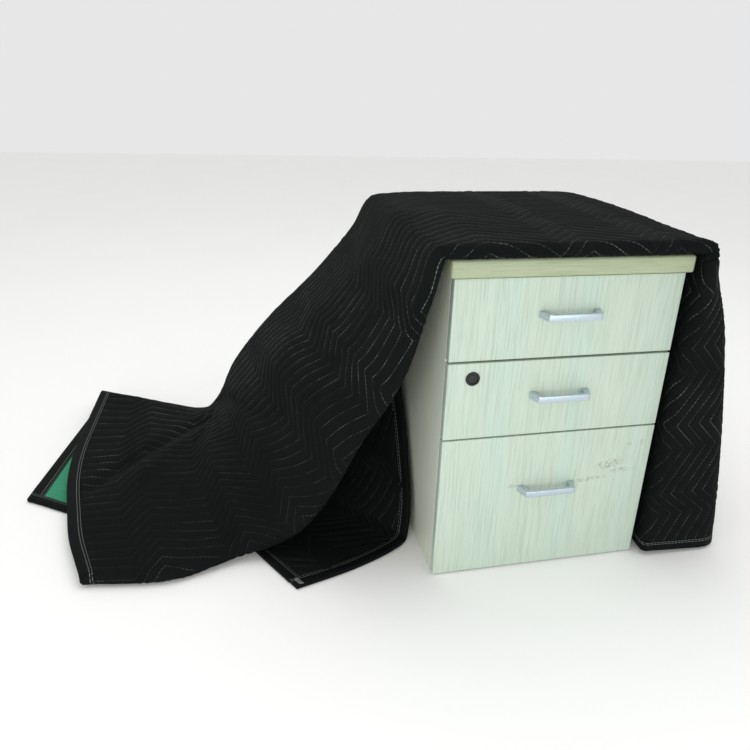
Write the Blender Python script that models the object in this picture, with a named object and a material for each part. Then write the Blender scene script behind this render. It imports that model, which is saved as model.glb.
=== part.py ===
"""A quilted moving pad, thrown over a three-drawer pedestal cabinet.

The pad is one rectangle of cloth, measured along its length by u, from the hem
at the right to the hem at the left, and across its width by v, from the front
edge to the rear edge. A pleat runs along its front, and its rear margin is
tucked under on the floor. Metres, +Z up, the origin on the floor under the
middle of the cabinet, whose drawers face -Y.
"""

import math

import bmesh
import bpy
import numpy as np
from mathutils import Vector

# Cabinet
BODY_WIDTH = 0.400
BODY_DEPTH = 0.500
BODY_HEIGHT = 0.558
BOARD = 0.016
TOP_THICK = 0.030
TOP_OVERHANG_SIDE = 0.009
TOP_OVERHANG_FRONT = 0.0085
SEAT_GAP = 0.0003
FRONT_TOPS = (0.2755, 0.4155, 0.5565)
FRONT_GAPS = (0.003, 0.003, 0.004)
HANDLE_HEIGHTS = (0.170, 0.353, 0.495)
HANDLE_LENGTH = 0.108
HANDLE_REACH = 0.025
HANDLE_BAR = 0.006
HANDLE_TALL = 0.012
HANDLE_FOOT = 0.012
HANDLE_SLOPE = 0.008
LOCK_RADIUS = 0.012
LOCK_PROUD = 0.003
LOCK_X = -0.157
LOCK_Z = 0.389
LOCK_SIDES = 24

# Pad, laid flat
PAD_LENGTH = 2.03
PAD_WIDTH = 1.83
FACE_THICK = 0.0040
BACK_THICK = 0.0020
PLY_GAP = 0.0003
BINDING_WIDTH = 0.022
BINDING_THICK = 0.0010
TAPE_GAP = 0.0006
LIP_GAP = 0.0010
CORNER_GAP = 0.0008
CHANNEL_CREST = 0.0016
ZIGZAG_PERIOD = 0.210
ZIGZAG_SHORT_LEG = 0.070
ZIGZAG_SWING = 0.030

# How far the pad's fold lines are opened: the valley and the ridge of the pleat
VALLEY_OPENING = 0.0130
RIDGE_OPENING = 0.0160

# Each section of the pad at one u, as the places of its fold lines. front is its front edge,
# valley and ridge are the pleat's two folds, brow is the soft trough behind the ridge,
# crown is the middle, eave is where it turns down at the rear, heel is where it meets the
# floor behind, and tail is its rear edge.
FOLD_NAMES = ("front", "valley", "ridge", "brow", "crown", "eave", "heel", "tail")
SECTIONS = (
    (
        0.00,
        (0.226, -0.035, 0.005),
        (0.250, 0.130, 0.012),
        (0.224, -0.268, 0.0125),
        (0.378, -0.270, 0.005),
        (0.440, -0.010, 0.005),
        (0.440, 0.340, 0.005),
        (0.545, 0.545, 0.005),
        (0.590, 0.640, 0.005),
    ),
    (
        0.15,
        (0.224, -0.030, 0.135),
        (0.247, 0.135, 0.140),
        (0.223, -0.266, 0.140),
        (0.362, -0.264, 0.145),
        (0.418, 0.000, 0.150),
        (0.415, 0.330, 0.150),
        (0.470, 0.530, 0.075),
        (0.475, 0.605, 0.005),
    ),
    (
        0.30,
        (0.224, -0.020, 0.285),
        (0.242, 0.140, 0.285),
        (0.223, -0.267, 0.285),
        (0.338, -0.262, 0.292),
        (0.380, 0.000, 0.300),
        (0.382, 0.320, 0.300),
        (0.375, 0.475, 0.115),
        (0.340, 0.545, 0.005),
    ),
    (
        0.45,
        (0.224, -0.010, 0.430),
        (0.238, 0.145, 0.430),
        (0.224, -0.270, 0.435),
        (0.304, -0.258, 0.440),
        (0.335, 0.000, 0.445),
        (0.333, 0.300, 0.445),
        (0.290, 0.420, 0.120),
        (0.240, 0.490, 0.005),
    ),
    (
        0.56,
        (0.222, 0.000, 0.530),
        (0.235, 0.150, 0.534),
        (0.230, -0.274, 0.537),
        (0.264, -0.250, 0.543),
        (0.274, 0.000, 0.551),
        (0.273, 0.282, 0.551),
        (0.230, 0.390, 0.120),
        (0.195, 0.445, 0.005),
    ),
    (
        0.63,
        (0.217, 0.000, 0.5925),
        (0.222, 0.130, 0.598),
        (0.223, -0.275, 0.602),
        (0.227, -0.235, 0.6065),
        (0.230, 0.050, 0.6115),
        (0.230, 0.272, 0.607),
        (0.200, 0.375, 0.120),
        (0.175, 0.425, 0.005),
    ),
    (
        0.70,
        (0.155, 0.000, 0.5930),
        (0.155, 0.130, 0.6000),
        (0.155, -0.276, 0.6045),
        (0.155, -0.200, 0.6135),
        (0.155, 0.020, 0.6195),
        (0.155, 0.274, 0.6095),
        (0.150, 0.372, 0.120),
        (0.150, 0.410, 0.0050),
    ),
    (
        0.98,
        (-0.140, 0.000, 0.5930),
        (-0.140, 0.130, 0.6000),
        (-0.140, -0.280, 0.6045),
        (-0.140, -0.200, 0.6135),
        (-0.140, 0.020, 0.6195),
        (-0.140, 0.272, 0.6095),
        (-0.150, 0.372, 0.120),
        (-0.150, 0.410, 0.0050),
    ),
    (
        1.05,
        (-0.2185, 0.000, 0.5925),
        (-0.2245, 0.130, 0.5985),
        (-0.227, -0.274, 0.6035),
        (-0.231, -0.200, 0.6095),
        (-0.235, 0.000, 0.616),
        (-0.2225, 0.266, 0.604),
        (-0.220, 0.385, 0.095),
        (-0.222, 0.408, 0.005),
    ),
    (
        1.12,
        (-0.228, 0.000, 0.538),
        (-0.246, 0.135, 0.536),
        (-0.247, -0.270, 0.537),
        (-0.264, -0.200, 0.552),
        (-0.272, 0.000, 0.558),
        (-0.260, 0.264, 0.544),
        (-0.268, 0.430, 0.060),
        (-0.270, 0.405, 0.005),
    ),
    (
        1.26,
        (-0.235, -0.003, 0.430),
        (-0.300, 0.120, 0.410),
        (-0.281, -0.257, 0.405),
        (-0.318, -0.190, 0.432),
        (-0.352, 0.000, 0.448),
        (-0.348, 0.266, 0.440),
        (-0.362, 0.455, 0.0300),
        (-0.355, 0.375, 0.0050),
    ),
    (
        1.41,
        (-0.222, -0.020, 0.310),
        (-0.335, 0.110, 0.300),
        (-0.343, -0.221, 0.267),
        (-0.385, -0.150, 0.305),
        (-0.440, 0.020, 0.345),
        (-0.453, 0.272, 0.334),
        (-0.450, 0.470, 0.006),
        (-0.440, 0.200, 0.005),
    ),
    (
        1.55,
        (-0.215, -0.075, 0.190),
        (-0.345, 0.090, 0.170),
        (-0.398, -0.190, 0.138),
        (-0.442, -0.115, 0.182),
        (-0.502, 0.055, 0.227),
        (-0.531, 0.300, 0.218),
        (-0.525, 0.475, 0.006),
        (-0.525, 0.120, 0.005),
    ),
    (
        1.66,
        (-0.214, -0.120, 0.092),
        (-0.335, 0.050, 0.090),
        (-0.453, -0.160, 0.058),
        (-0.497, -0.080, 0.098),
        (-0.547, 0.090, 0.140),
        (-0.565, 0.350, 0.116),
        (-0.578, 0.490, 0.006),
        (-0.600, 0.070, 0.005),
    ),
    (
        1.76,
        (-0.225, -0.150, 0.012),
        (-0.370, 0.010, 0.036),
        (-0.530, -0.150, 0.026),
        (-0.565, -0.050, 0.055),
        (-0.605, 0.120, 0.080),
        (-0.606, 0.390, 0.050),
        (-0.635, 0.500, 0.006),
        (-0.685, 0.030, 0.005),
    ),
    (
        1.90,
        (-0.335, -0.208, 0.0050),
        (-0.490, -0.005, 0.0150),
        (-0.672, -0.185, 0.0140),
        (-0.700, -0.060, 0.034),
        (-0.742, 0.150, 0.050),
        (-0.740, 0.490, 0.045),
        (-0.752, 0.540, 0.0060),
        (-0.800, 0.030, 0.0050),
    ),
    (
        2.03,
        (-0.446, -0.243, 0.005),
        (-0.600, 0.032, 0.0122),
        (-0.8105, -0.168, 0.014),
        (-0.850, -0.050, 0.020),
        (-0.897, 0.200, 0.026),
        (-0.872, 0.570, 0.046),
        (-0.878, 0.582, 0.0055),
        (-0.961, 0.121, 0.005),
    ),
)

# How far each turn of a section is rounded off, and how many steps the turn and the run
# after it take in the solid.
TURNS = (
    ("front", 0.0, 0, 4),
    ("valley_under", VALLEY_OPENING / 2, 2, 0),
    ("valley_over", VALLEY_OPENING / 2, 2, 6),
    ("ridge_under", RIDGE_OPENING / 2, 2, 0),
    ("ridge_over", RIDGE_OPENING / 2, 2, 2),
    ("brow", 0.040, 2, 3),
    ("crown", 0.120, 2, 3),
    ("eave", 0.050, 3, 4),
    ("heel", 0.030, 2, 5),
    ("tail", 0.0, 0, 0),
)
PLEAT_TURNS = ("valley_under", "valley_over", "ridge_under", "ridge_over")
WIDEST_CUT = 0.46

# Rows of the solid along the pad: where its zigzag turns, and beside the cabinet's edges
EXTRA_ROWS = (BINDING_WIDTH, 0.560, 0.595, 1.085, 1.155, 1.205, PAD_LENGTH - BINDING_WIDTH, PAD_LENGTH)
HEM_RUN_OUT = 0.060
CLEAR_OF_FOLD = 0.050

COLOURS = {
    "black_face": ((0.012, 0.014, 0.014, 1.0), 0.85, 0.0),
    "green_back": ((0.040, 0.250, 0.130, 1.0), 0.85, 0.0),
    "black_tape": ((0.010, 0.011, 0.012, 1.0), 0.70, 0.0),
    "mint_laminate": ((0.580, 0.680, 0.560, 1.0), 0.45, 0.0),
    "pale_metal": ((0.550, 0.620, 0.660, 1.0), 0.35, 0.6),
    "black_plastic": ((0.010, 0.010, 0.010, 1.0), 0.40, 0.0),
}


def clear_scene():
    for obj in list(bpy.data.objects):
        bpy.data.objects.remove(obj, do_unlink=True)


def material(name):
    colour, roughness, metallic = COLOURS[name]
    made = bpy.data.materials.get(name) or bpy.data.materials.new(name)
    made.use_nodes = True
    shader = made.node_tree.nodes["Principled BSDF"]
    shader.inputs["Base Color"].default_value = colour
    shader.inputs["Roughness"].default_value = roughness
    shader.inputs["Metallic"].default_value = metallic
    return made


def add_object(name, mesh, material_name):
    obj = bpy.data.objects.new(name, mesh)
    mesh.materials.append(material(material_name))
    bpy.context.scene.collection.objects.link(obj)
    return obj


def board(name, low, high, material_name="mint_laminate"):
    """A flat board with its lowest and highest corners at low and high."""
    low, high = Vector(low), Vector(high)
    shape = bmesh.new()
    bmesh.ops.create_cube(shape, size=1.0)
    bmesh.ops.scale(shape, vec=high - low, verts=shape.verts)
    mesh = bpy.data.meshes.new(name)
    shape.to_mesh(mesh)
    shape.free()
    obj = add_object(name, mesh, material_name)
    obj.location = (low + high) / 2
    return obj


def carcass():
    """Two sides, a base and a back under an overhanging top."""
    side = BODY_WIDTH / 2
    front = -BODY_DEPTH / 2 + BOARD + SEAT_GAP
    back = BODY_DEPTH / 2
    inside = side - BOARD - SEAT_GAP
    board("side_left", (-side, front, 0), (-side + BOARD, back, BODY_HEIGHT))
    board("side_right", (side - BOARD, front, 0), (side, back, BODY_HEIGHT))
    board("base_board", (-inside, front, 0), (inside, back - BOARD - SEAT_GAP, BOARD))
    board("back_board", (-inside, back - BOARD, 0), (inside, back, BODY_HEIGHT - SEAT_GAP))
    board(
        "top_slab",
        (-side - TOP_OVERHANG_SIDE, -BODY_DEPTH / 2 - TOP_OVERHANG_FRONT, BODY_HEIGHT + SEAT_GAP),
        (side + TOP_OVERHANG_SIDE, back, BODY_HEIGHT + TOP_THICK),
    )


def drawer_fronts():
    """Three fronts that lie over the carcass, with a dark gap between them."""
    lowest = 0.0
    face = -BODY_DEPTH / 2
    for name, top, gap in zip(("bottom", "middle", "top"), FRONT_TOPS, FRONT_GAPS):
        board(
            "drawer_front_" + name,
            (-BODY_WIDTH / 2, face, lowest + gap),
            (BODY_WIDTH / 2, face + BOARD, top),
        )
        lowest = top


def handle(name, height):
    """A flat bow: a bar on two sloping feet, one outline drawn from above."""
    half = HANDLE_LENGTH / 2
    seat = -BODY_DEPTH / 2 - SEAT_GAP
    reach = -BODY_DEPTH / 2 - HANDLE_REACH
    outer = [
        (half, seat),
        (half - HANDLE_SLOPE, reach),
        (-half + HANDLE_SLOPE, reach),
        (-half, seat),
    ]
    inner = [
        (-half + HANDLE_FOOT, seat),
        (-half + HANDLE_FOOT + HANDLE_SLOPE / 2, reach + HANDLE_BAR),
        (half - HANDLE_FOOT - HANDLE_SLOPE / 2, reach + HANDLE_BAR),
        (half - HANDLE_FOOT, seat),
    ]
    low, high = height - HANDLE_TALL / 2, height + HANDLE_TALL / 2
    ring = outer + inner
    count = len(ring)
    verts = [(x, y, z) for z in (low, high) for x, y in ring]
    faces = [(0, 1, 6, 7), (1, 2, 5, 6), (2, 3, 4, 5)]
    floor = [tuple(reversed(f)) for f in faces]
    roof = [tuple(i + count for i in f) for f in faces]
    walls = [(i, (i + 1) % count, (i + 1) % count + count, i + count) for i in range(count)]
    mesh = bpy.data.meshes.new(name)
    mesh.from_pydata(verts, [], floor + roof + walls)
    closed_outward(mesh)
    return add_object(name, mesh, "pale_metal")


def lock():
    """A round lock barrel let into the front of the middle drawer."""
    shape = bmesh.new()
    bmesh.ops.create_cone(
        shape,
        cap_ends=True,
        segments=LOCK_SIDES,
        radius1=LOCK_RADIUS,
        radius2=LOCK_RADIUS,
        depth=LOCK_PROUD,
    )
    mesh = bpy.data.meshes.new("lock")
    shape.to_mesh(mesh)
    shape.free()
    obj = add_object("lock", mesh, "black_plastic")
    obj.rotation_euler = (math.radians(90), 0, 0)
    obj.location = (LOCK_X, -BODY_DEPTH / 2 - SEAT_GAP - LOCK_PROUD / 2, LOCK_Z)
    return obj


def closed_outward(mesh):
    """Turns every face of a closed mesh outwards."""
    shape = bmesh.new()
    shape.from_mesh(mesh)
    bmesh.ops.recalc_face_normals(shape, faces=shape.faces)
    shape.to_mesh(mesh)
    shape.free()


def eased(stations, values, u):
    """A smooth line through the values, with no overshoot between its stations."""
    step = np.diff(stations)[:, None]
    slope = np.diff(values, axis=0) / step
    bend = np.zeros_like(values)
    same = slope[:-1] * slope[1:] > 0
    weight_a = 2 * step[1:] + step[:-1]
    weight_b = step[1:] + 2 * step[:-1]
    safe_a = np.where(same, slope[:-1], 1.0)
    safe_b = np.where(same, slope[1:], 1.0)
    mean = (weight_a + weight_b) / (weight_a / safe_a + weight_b / safe_b)
    bend[1:-1] = np.where(same, mean, 0.0)
    bend[0], bend[-1] = slope[0], slope[-1]
    i = int(np.clip(np.searchsorted(stations, u, side="right") - 1, 0, len(step) - 1))
    t = (u - stations[i]) / step[i, 0]
    h = step[i, 0]
    return (
        (2 * t**3 - 3 * t**2 + 1) * values[i]
        + (t**3 - 2 * t**2 + t) * h * bend[i]
        + (3 * t**2 - 2 * t**3) * values[i + 1]
        + (t**3 - t**2) * h * bend[i + 1]
    )


STATIONS = np.array([row[0] for row in SECTIONS])
FOLD_LINES = np.array([np.concatenate(row[1:]) for row in SECTIONS])


def fold_points(u):
    """Where each fold line crosses the section at u, by name."""
    places = eased(STATIONS, FOLD_LINES, u).reshape(-1, 3)
    return dict(zip(FOLD_NAMES, places))


def unit(vector):
    return vector / np.linalg.norm(vector)


def section_corners(u):
    """The section's corners, with the two sides of each fold of the pleat apart."""
    at = fold_points(u)
    near = min(max(u, 0.005), PAD_LENGTH - 0.005)
    before, after = fold_points(near - 0.005), fold_points(near + 0.005)
    corners = []
    for name in FOLD_NAMES:
        if name not in ("valley", "ridge"):
            corners.append(at[name])
            continue
        opening = VALLEY_OPENING if name == "valley" else RIDGE_OPENING
        along = unit(after[name] - before[name])
        across = at["valley"] - at["ridge"]
        side = unit(np.cross(across, along))
        corners += [at[name] - side * opening / 2, at[name] + side * opening / 2]
    return np.array(corners)


def section_line(u):
    """The section at u as points, how far each one is across the pad, and which lie in a turn of the pleat."""
    corners = section_corners(u)
    lengths = np.linalg.norm(np.diff(corners, axis=0), axis=1)
    points, turns = [corners[0]], [False]
    last = len(corners) - 1
    for i, (name, radius, turn_steps, run_steps) in enumerate(TURNS):
        if 0 < i < last:
            cut = min(radius, WIDEST_CUT * lengths[i - 1], WIDEST_CUT * lengths[i])
            if name in PLEAT_TURNS:
                cut = radius
            enter = corners[i] + unit(corners[i - 1] - corners[i]) * cut
            leave = corners[i] + unit(corners[i + 1] - corners[i]) * cut
            if turn_steps and np.linalg.norm(points[-1] - enter) > 1e-6:
                points.append(enter)
                turns.append(name in PLEAT_TURNS)
            for k in range(1, turn_steps + 1):
                t = k / turn_steps
                points.append((1 - t) ** 2 * enter + 2 * t * (1 - t) * corners[i] + t * t * leave)
                turns.append(name in PLEAT_TURNS)
        if run_steps:
            start = points[-1]
            following = corners[i + 1]
            radius_next = TURNS[i + 1][1]
            cut = min(radius_next, WIDEST_CUT * lengths[i])
            if i + 1 < last:
                cut = min(cut, WIDEST_CUT * lengths[i + 1])
                if TURNS[i + 1][0] in PLEAT_TURNS:
                    cut = radius_next
            stop = following + unit(start - following) * cut
            for k in range(1, run_steps + 1):
                points.append(start + (stop - start) * k / run_steps)
                turns.append(k == run_steps and TURNS[i + 1][0] in PLEAT_TURNS)
    points = np.array(points)
    across = np.concatenate([[0], np.cumsum(np.linalg.norm(np.diff(points, axis=0), axis=1))])
    return points, across, np.array(turns)


def zigzag(u):
    """How far the quilting has swung across the pad at u, from -0.5 to 0.5."""
    place = u % ZIGZAG_PERIOD
    long_leg = ZIGZAG_PERIOD - ZIGZAG_SHORT_LEG
    if place < ZIGZAG_SHORT_LEG:
        return 0.5 - place / ZIGZAG_SHORT_LEG
    return -0.5 + (place - ZIGZAG_SHORT_LEG) / long_leg


def rows_along():
    """Every u at which the solid has a row."""
    rows = set(EXTRA_ROWS)
    start = 0.0
    while start < PAD_LENGTH:
        rows.add(round(start, 4))
        if start + ZIGZAG_SHORT_LEG < PAD_LENGTH:
            rows.add(round(start + ZIGZAG_SHORT_LEG, 4))
        start += ZIGZAG_PERIOD
    return sorted(rows)


def sharp_turns(points):
    """Which points the section turns sharply at."""
    step = np.diff(points, axis=0)
    heading = step / np.linalg.norm(step, axis=1)[:, None]
    turn = np.einsum("ij,ij->i", heading[:-1], heading[1:])
    return np.concatenate([[False], turn < 0.80, [False]])


def clear_of_tape(shifted, width):
    """Spaces out the points of the first and last runs, between the tape and the first turn."""
    first, last = TURNS[0][3], TURNS[-2][3]
    near, far = shifted[first], shifted[-1 - last]
    shifted = shifted.copy()
    shifted[1:first] = np.linspace(BINDING_WIDTH, near, first + 1)[1:-1]
    shifted[-last:-1] = np.linspace(far, width - BINDING_WIDTH, last + 1)[1:-1]
    return shifted


def pad_grid():
    """The pad's middle surface, and the raised share of each of its points."""
    grid, crest = [], []
    for u in rows_along():
        points, across, turns = section_line(u)
        folds = across[turns | sharp_turns(points)]
        ends = np.minimum(across, across[-1] - across)
        away = np.min(np.abs(across[:, None] - folds[None, :]), axis=1)
        ease = np.clip(np.minimum(ends, away) / CLEAR_OF_FOLD - 0.4, 0, 1)
        shifted = across + ease * ZIGZAG_SWING * zigzag(u)
        inset = np.minimum(ends, min(u, PAD_LENGTH - u)) - BINDING_WIDTH
        raised = np.arange(len(across)) % 2 * np.clip(inset / HEM_RUN_OUT, 0, 1)
        raised = raised * np.clip(away / CLEAR_OF_FOLD, 0, 1)
        shifted = clear_of_tape(shifted, across[-1])
        tape = (BINDING_WIDTH, across[-1] - BINDING_WIDTH)
        shifted = np.concatenate([[0, tape[0]], shifted[1:-1], [tape[1], across[-1]]])
        grid.append(np.stack([np.interp(shifted, across, points[:, k]) for k in range(3)], axis=1))
        crest.append(np.concatenate([[0, 0], raised[1:-1], [0, 0]]))
    return np.array(grid), np.array(crest)


def headings(grid, axis):
    """The direction of a grid's lines at each point, halfway between the steps beside it."""
    step = np.diff(grid, axis=axis)
    step = step / np.linalg.norm(step, axis=2)[:, :, None]
    first, last = np.take(step, [0], axis=axis), np.take(step, [-1], axis=axis)
    return np.concatenate([first, step], axis=axis) + np.concatenate([step, last], axis=axis)


def normals_of(grid):
    """The outward side of the pad at each point of its grid."""
    side = np.cross(headings(grid, 1), headings(grid, 0))
    return side / np.linalg.norm(side, axis=2)[:, :, None]


def ply(name, outer, inner, material_name):
    """A closed sheet between an outer and an inner grid of points."""
    rows, columns = outer.shape[:2]
    verts = np.concatenate([outer.reshape(-1, 3), inner.reshape(-1, 3)])
    below = rows * columns

    def at(i, j, side):
        return i * columns + j + side * below

    faces = []
    for i in range(rows - 1):
        for j in range(columns - 1):
            a, b, c, d = at(i, j, 0), at(i, j + 1, 0), at(i + 1, j + 1, 0), at(i + 1, j, 0)
            faces += [(a, b, c), (a, c, d)]
            a, b, c, d = (k + below for k in (a, b, c, d))
            faces += [(c, b, a), (d, c, a)]
    rim = [(i, 0) for i in range(rows)]
    rim += [(rows - 1, j) for j in range(1, columns)]
    rim += [(i, columns - 1) for i in range(rows - 2, -1, -1)]
    rim += [(0, j) for j in range(columns - 2, 0, -1)]
    for (i, j), (k, m) in zip(rim, rim[1:] + rim[:1]):
        a, b, c, d = at(i, j, 0), at(k, m, 0), at(k, m, 1), at(i, j, 1)
        faces += [(a, b, d), (b, c, d)] if j == m else [(a, b, c), (a, c, d)]
    mesh = bpy.data.meshes.new(name)
    mesh.from_pydata(verts.tolist(), [], faces)
    closed_outward(mesh)
    return add_object(name, mesh, material_name)


def binding(name, edge, inner, edge_side, inner_side, leans_in):
    """A tape folded over an edge of the pad, as a closed strip.

    It runs along the stations of the edge and of the line one tape width inside
    it. leans_in says which way the pad's own triangles lean there.
    """
    half = (FACE_THICK + BACK_THICK) / 2
    under = half + TAPE_GAP
    over = under + BINDING_THICK
    along = headings(edge[:, None], 0)[:, 0]
    along = along / np.linalg.norm(along, axis=1)[:, None]
    outward = edge - inner
    outward = outward - along * np.sum(outward * along, axis=1)[:, None]
    outward = outward / np.linalg.norm(outward, axis=1)[:, None]
    lip = edge + outward * (LIP_GAP + BINDING_THICK)
    seam = edge + outward * LIP_GAP
    lines = (
        inner + inner_side * over,
        lip + edge_side * over,
        lip - edge_side * over,
        inner - inner_side * over,
        inner - inner_side * under,
        seam - edge_side * under,
        seam + edge_side * under,
        inner + inner_side * under,
    )
    leans = (True, True, False, True, True, False, False, True)
    count, stations = len(lines), len(edge)
    verts = np.stack(lines, axis=1).reshape(-1, 3)
    faces = []
    for i in range(stations - 1):
        for k in range(count):
            a, b = i * count + k, i * count + (k + 1) % count
            c, d = b + count, a + count
            if leans[k] != leans_in:
                faces += [(a, b, c), (a, c, d)]
            else:
                faces += [(a, b, d), (b, c, d)]
    caps = ((0, 1, 6, 7), (1, 2, 5, 6), (2, 3, 4, 5))
    end = (stations - 1) * count
    faces += [tuple(reversed(c)) for c in caps]
    faces += [tuple(k + end for k in c) for c in caps]
    mesh = bpy.data.meshes.new(name)
    mesh.from_pydata(verts.tolist(), [], faces)
    closed_outward(mesh)
    return add_object(name, mesh, "black_tape")


def between_tapes(line):
    """The stations of an end tape, which stops just short of the two long tapes."""
    line = line[1:-1].copy()
    line[0] += unit(line[1] - line[0]) * CORNER_GAP
    line[-1] += unit(line[-2] - line[-1]) * CORNER_GAP
    return line


def pad():
    """The quilted face, its backing, and the tape that binds the four edges."""
    grid, crest = pad_grid()
    side = normals_of(grid)
    half = (FACE_THICK + BACK_THICK) / 2
    seam = half - FACE_THICK
    face_top = grid + side * (half + CHANNEL_CREST * crest)[:, :, None]
    ply("pad_face", face_top, grid + side * (seam + PLY_GAP / 2), "black_face")
    ply("pad_backing", grid + side * (seam - PLY_GAP / 2), grid - side * half, "green_back")
    binding("binding_front", grid[:, 0], grid[:, 1], side[:, 0], side[:, 1], True)
    binding("binding_rear", grid[:, -1], grid[:, -2], side[:, -1], side[:, -2], False)
    for name, edge, inner, leans_in in (("right", 0, 1, True), ("left", -1, -2, False)):
        binding(
            "binding_" + name,
            between_tapes(grid[edge]),
            between_tapes(grid[inner]),
            side[edge, 1:-1],
            side[inner, 1:-1],
            leans_in,
        )


def main():
    clear_scene()
    carcass()
    drawer_fronts()
    for name, height in zip(("bottom", "middle", "top"), HANDLE_HEIGHTS):
        handle("handle_" + name, height)
    lock()
    pad()


main()
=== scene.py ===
"""The looks of a quilted moving pad, thrown over a three-drawer pedestal cabinet.

The pad is one rectangle of cloth, measured along its length by u, from the hem
at the right to the hem at the left, and across its width by v, from the front
edge to the rear edge. Metres, +Z up, the origin on the floor under the middle
of the cabinet, whose drawers face -Y.
"""

import math

import bmesh
import bpy
import numpy as np
from mathutils import Matrix, Vector

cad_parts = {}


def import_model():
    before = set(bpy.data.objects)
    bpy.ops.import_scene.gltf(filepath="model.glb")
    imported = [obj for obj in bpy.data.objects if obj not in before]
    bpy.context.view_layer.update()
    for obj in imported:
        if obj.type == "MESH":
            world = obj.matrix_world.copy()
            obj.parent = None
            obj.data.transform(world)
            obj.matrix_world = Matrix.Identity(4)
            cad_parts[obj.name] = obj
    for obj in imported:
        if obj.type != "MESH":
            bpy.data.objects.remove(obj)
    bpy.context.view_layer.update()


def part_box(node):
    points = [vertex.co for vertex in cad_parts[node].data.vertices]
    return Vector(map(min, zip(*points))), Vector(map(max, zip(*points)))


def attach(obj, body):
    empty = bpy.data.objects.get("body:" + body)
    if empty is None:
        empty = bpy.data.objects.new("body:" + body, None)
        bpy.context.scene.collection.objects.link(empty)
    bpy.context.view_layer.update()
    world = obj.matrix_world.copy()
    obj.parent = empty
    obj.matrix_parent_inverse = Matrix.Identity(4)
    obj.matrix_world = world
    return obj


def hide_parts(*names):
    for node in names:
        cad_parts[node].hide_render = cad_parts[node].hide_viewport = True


# Pad, laid flat
PAD_LENGTH = 2.03
PAD_WIDTH = 1.83
FACE_THICK = 0.0040
BACK_THICK = 0.0020
TAPE_WIDTH = 0.022
TAPE_THICK = 0.0010
TAPE_RAILS = 4
LIP_STEPS = 4
LIP_REACH = 1.8 * TAPE_THICK
PLY_INSET = 0.004
TAPE_SEAMS = (0.0016, 0.0060)

# Quilting: channels along u whose seams zigzag, a short leg and then a long one
CHANNELS = 72
CHANNEL_STEPS = 5
CHANNEL_CREST = 0.0017
BACK_CREST = 0.4 * CHANNEL_CREST
CREST_ROUNDNESS = 0.7
CREST_AT_TAPE = 0.4
UNEVEN_SHARE = 0.2
UNEVEN_ALONG = 61
UNEVEN_ACROSS = 2.4
ZIGZAG_PERIOD = 0.150
ZIGZAG_SHORT_LEG = 0.050
ZIGZAG_SWING = 0.058
ZIGZAG_START = 0.095
SHORT_LEG_STEPS = 11
LONG_LEG_STEPS = 9
SWING_RUN_OUT = 0.055
SEAM_DRIFT = -0.150
DRIFT_ALONG = (1.04, 1.50)
DRIFT_RISE = (0.12, 0.50)
DRIFT_FALL = (1.10, 1.75)
HEM_RUN_OUT = 0.030
STITCH_LENGTH = 0.0075
STITCH_SHARE = 0.72
STITCH_SOFT = 0.05
SEAM_VALLEY = 0.004
THREAD_WIDTH = 0.0012
THREAD_SOFT = 0.12

# Where painted shade fades the seams that lie in shade: the name of each patch, its middle as (u, v),
# its reach along both, and the share that it hides. It thins out from where the square of the
# distance from the middle, in shares of the reach, passes the even share below.
SEAM_SHADE_PATCHES = (
    ("flap", (1.76, 0.86), (0.42, 0.28), 0.66),
    ("front_margin", (1.75, 0.10), (0.60, 0.30), 0.70),
    ("top", (0.82, 0.98), (0.36, 0.50), 0.50),
)
SEAM_SHADE_EVEN = 0.35

# Slow swell of the loose cloth behind the pleat. Each wave is (its turns along u and v, in
# radians a metre, and where it starts). The rear margin lies flat.
SWELL = 0.0012
SWELL_WAVES = ((6.9, 3.3, 0.4), (12.3, -8.1, 1.9), (20.1, 11.7, 3.1))
SWELL_RUN_IN = 0.12
REAR_MARGIN = 0.45

# Soft troughs and mounds: name, how far it stands out, half its width, and its line as (u, v)
CREASES = (
    (
        "flap_trough",
        -0.0095,
        0.024,
        ((1.73, 0.950), (1.80, 0.941), (1.86, 0.926), (1.92, 0.905), (1.98, 0.880)),
    ),
    ("flap_mound", 0.0035, 0.030, ((1.78, 0.875), (1.84, 0.860), (1.90, 0.830))),
    ("foot_hollow", -0.0070, 0.028, ((1.66, 0.960), (1.61, 0.870), (1.57, 0.780), (1.52, 0.690))),
    ("foot_pucker", -0.0040, 0.014, ((1.84, 0.560), (1.80, 0.545), (1.76, 0.500))),
    ("sweep_trough", -0.0040, 0.026, ((1.15, 0.610), (1.24, 0.635), (1.34, 0.650), (1.44, 0.640))),
    ("shoulder_mound", 0.0030, 0.040, ((1.02, 0.780), (1.14, 0.800), (1.28, 0.815), (1.40, 0.800))),
    ("top_trough", -0.0022, 0.030, ((0.66, 0.700), (0.78, 0.745), (0.92, 0.730))),
    ("right_trough", -0.0040, 0.035, ((0.10, 0.880), (0.28, 0.850), (0.46, 0.870))),
    ("right_mound", 0.0035, 0.040, ((0.06, 1.020), (0.24, 0.990), (0.44, 1.010))),
    ("rear_mound", 0.0040, 0.050, ((0.74, 1.220), (0.76, 1.420), (0.72, 1.620))),
    ("rear_trough", -0.0040, 0.045, ((0.92, 1.230), (0.94, 1.420), (0.95, 1.600))),
)

# How far the two folds of the pleat are opened, and how far to each side their heading is taken
VALLEY_OPENING = 0.0130
RIDGE_OPENING = 0.0160
HEADING_STEP = 0.005

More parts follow.
